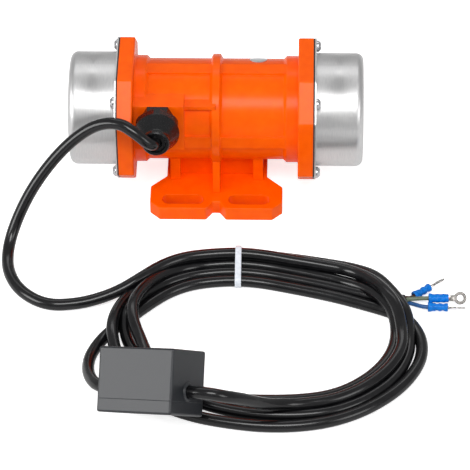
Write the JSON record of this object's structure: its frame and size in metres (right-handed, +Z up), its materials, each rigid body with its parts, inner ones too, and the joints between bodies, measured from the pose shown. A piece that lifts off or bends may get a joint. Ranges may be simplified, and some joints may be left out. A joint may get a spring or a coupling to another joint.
{
  "type": "vibration motor",
  "caption": "Small single-phase vibration motor with an orange cast housing on a slotted foot, drawn steel end covers, a cable gland, a tied coil of cord, a capacitor box and ring terminals.",
  "frame": {"origin": "centre of the foot's underside, midway between its four slots", "axes": "+X along the shaft to the right end cover, +Z up from the foot, -Y on the side of the cable gland"},
  "size_m": [0.3105, 0.3381, 0.1016],
  "materials": {
    "black_plastic": "matte",
    "blue_lead": "satin",
    "blue_sleeve": "gloss",
    "brown_lead": "satin",
    "cage_polymer": "matte",
    "capacitor_foil": "satin",
    "cast_aluminium": "satin",
    "copper_winding": "satin",
    "cord_rubber": "satin",
    "foil": "satin",
    "gasket_rubber": "matte",
    "green_lead": "satin",
    "grey_seal": "matte",
    "lamination": "matte",
    "painted_orange": "satin",
    "shaft_steel": "polished",
    "steel": "satin",
    "tinned": "polished",
    "weight_iron": "matte",
    "white_nylon": "satin",
    "zinc_screw": "satin"
  },
  "bodies": {
    "frame": {"bearing_seals": "gasket_rubber", "box_capacitor": "capacitor_foil", "box_grommets": "gasket_rubber", "cable_tie": "white_nylon", "capacitor_box": "black_plastic", "capacitor_box_lid": "black_plastic", "cord_coil": "cord_rubber", "cord_inner_end": "cord_rubber", "cover_screws": "zinc_screw", "foil_disc": "foil", "foot": "painted_orange", "gland_body": "black_plastic", "gland_nut": "black_plastic", "gland_seal": "grey_seal", "housing": "painted_orange", "lead_blue": "blue_lead", "lead_brown": "brown_lead", "lead_green": "green_lead", "lead_wires": "brown_lead", "left_bearing_outer_race": "shaft_steel", "left_bearing_retainer": "steel", "left_bearing_shield": "cast_aluminium", "left_end_cover": "steel", "left_gasket": "gasket_rubber", "motor_cord": "cord_rubber", "motor_cord_end": "cord_rubber", "right_bearing_outer_race": "shaft_steel", "right_bearing_retainer": "steel", "right_bearing_shield": "cast_aluminium", "right_end_cover": "steel", "right_gasket": "gasket_rubber", "shield_screws": "zinc_screw", "stator_core": "lamination", "stator_windings": "copper_winding", "supply_cord_end": "cord_rubber", "supply_cord_start": "cord_rubber", "terminal_rings": "tinned", "terminal_sleeves": "blue_sleeve"},
    "rotor": {"shaft": "shaft_steel", "rotor_core": "lamination", "rotor_cage": "cast_aluminium", "weight_keys": "steel", "shaft_circlips": "steel", "weight_spacers": "steel", "left_bearing_inner_race": "shaft_steel", "right_bearing_inner_race": "shaft_steel", "left_inner_weight": "weight_iron", "right_inner_weight": "weight_iron", "left_inner_clamp_screw": "zinc_screw", "right_inner_clamp_screw": "zinc_screw"},
    "left_cage": {"left_ball_cage": "cage_polymer", "left_bearing_balls": "shaft_steel"},
    "left_set_weight": {"left_outer_weight": "weight_iron", "left_outer_clamp_screw": "zinc_screw"},
    "right_cage": {"right_ball_cage": "cage_polymer", "right_bearing_balls": "shaft_steel"},
    "right_set_weight": {"right_outer_weight": "weight_iron", "right_outer_clamp_screw": "zinc_screw"}
  },
  "joints": [
    {"name": "rotor_spin", "type": "hinge", "parent": "frame", "child": "rotor", "pos_m": [0, 0, 0.056], "axis": [1, 0, 0], "continuous": true},
    {"name": "left_cage_spin", "type": "hinge", "parent": "frame", "child": "left_cage", "pos_m": [-0.058, 0, 0.056], "axis": [1, 0, 0], "continuous": true},
    {"name": "right_cage_spin", "type": "hinge", "parent": "frame", "child": "right_cage", "pos_m": [0.058, 0, 0.056], "axis": [1, 0, 0], "continuous": true},
    {"name": "left_weight_set", "type": "hinge", "parent": "rotor", "child": "left_set_weight", "pos_m": [-0.0861, 0, 0.056], "axis": [1, 0, 0], "range_deg": [0, 180]},
    {"name": "right_weight_set", "type": "hinge", "parent": "rotor", "child": "right_set_weight", "pos_m": [0.0861, 0, 0.056], "axis": [1, 0, 0], "range_deg": [0, 180]}
  ],
  "couplings": [
    {"joint": "left_cage_spin", "follows": "rotor_spin", "ratio": 0.365},
    {"joint": "right_cage_spin", "follows": "rotor_spin", "ratio": 0.365}
  ]
}
